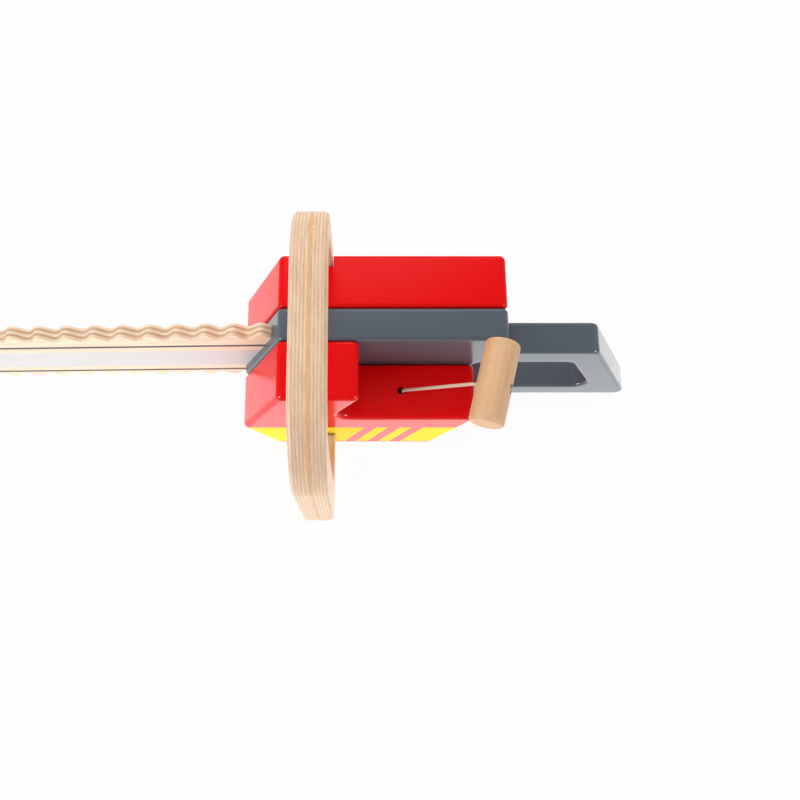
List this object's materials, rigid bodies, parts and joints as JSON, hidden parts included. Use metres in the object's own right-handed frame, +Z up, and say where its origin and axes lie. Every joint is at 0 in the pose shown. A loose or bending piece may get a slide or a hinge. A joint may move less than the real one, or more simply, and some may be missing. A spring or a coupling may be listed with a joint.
{
  "type": "wooden toy chainsaw",
  "caption": "Wooden toy chainsaw: laminated painted body with rear D-handle, wavy plywood blade, plywood hoop handle and a spring-rewound pull cord with toggle.",
  "frame": {"origin": "middle of the body's flat bottom, on which the toy rests", "axes": "+X from the blade to the rear handle, +Y to the user's right, +Z up"},
  "size_m": [0.3978, 0.1302, 0.1693],
  "materials": {
    "red_paint": "opaque red paint on solid beech, satin",
    "grey_paint": "dark grey stain on solid beech, satin",
    "blade_plywood": "clear-varnished birch plywood, silver band and dark lines on the faces",
    "handle_plywood": "clear-varnished birch plywood, plies showing on the edges",
    "beech": "plain beech, fine sanded",
    "cord": "twisted off-white cord",
    "reel_plastic": "moulded nylon, matt",
    "steel": "bare spring steel"
  },
  "bodies": {
    "root": {"right_side_block": "red_paint", "left_side_block": "red_paint", "centre_body": "grey_paint", "saw_blade": "blade_plywood", "front_handle": "handle_plywood", "body_dowel_1": "beech", "body_dowel_2": "beech", "body_dowel_3": "beech", "body_dowel_4": "beech", "blade_dowel_1": "beech", "blade_dowel_2": "beech", "arm_dowel_1": "beech", "arm_dowel_2": "beech", "leg_pin_1": "beech", "leg_pin_2": "beech", "reel_axle": "steel", "return_spring": "steel", "clicker_reed": "steel", "reel_cover": "reel_plastic", "cover_screw_1": "steel", "cover_screw_2": "steel", "cover_screw_3": "steel", "cord_run_inside": "cord"},
    "pull_line": {"starter_cord": "cord"},
    "toggle": {"pull_toggle": "beech", "cord_knot": "cord"},
    "reel": {"starter_reel": "reel_plastic", "cord_on_reel": "cord"}
  },
  "joints": [
    {"name": "starter_pull", "type": "slide", "parent": "root", "child": "pull_line", "axis": [0.5392, -0.1792, 0.8229], "range_m": [-0.049, 0], "deforming": ["starter_cord"]},
    {"name": "toggle_turn", "type": "hinge", "parent": "pull_line", "child": "toggle", "pos_m": [0.05479, -0.03185, 0.10396], "axis": [0, 0, 1], "range_deg": [-76.2, 0]},
    {"name": "reel_spin", "type": "hinge", "parent": "root", "child": "reel", "pos_m": [0.0132, -0.0236, 0.029], "axis": [0, 1, 0], "range_deg": [0, 256]}
  ],
  "couplings": [
    {"joint": "toggle_turn", "follows": "starter_pull", "rad_per_m": 26.999},
    {"joint": "reel_spin", "follows": "starter_pull", "rad_per_m": -90.909}
  ]
}
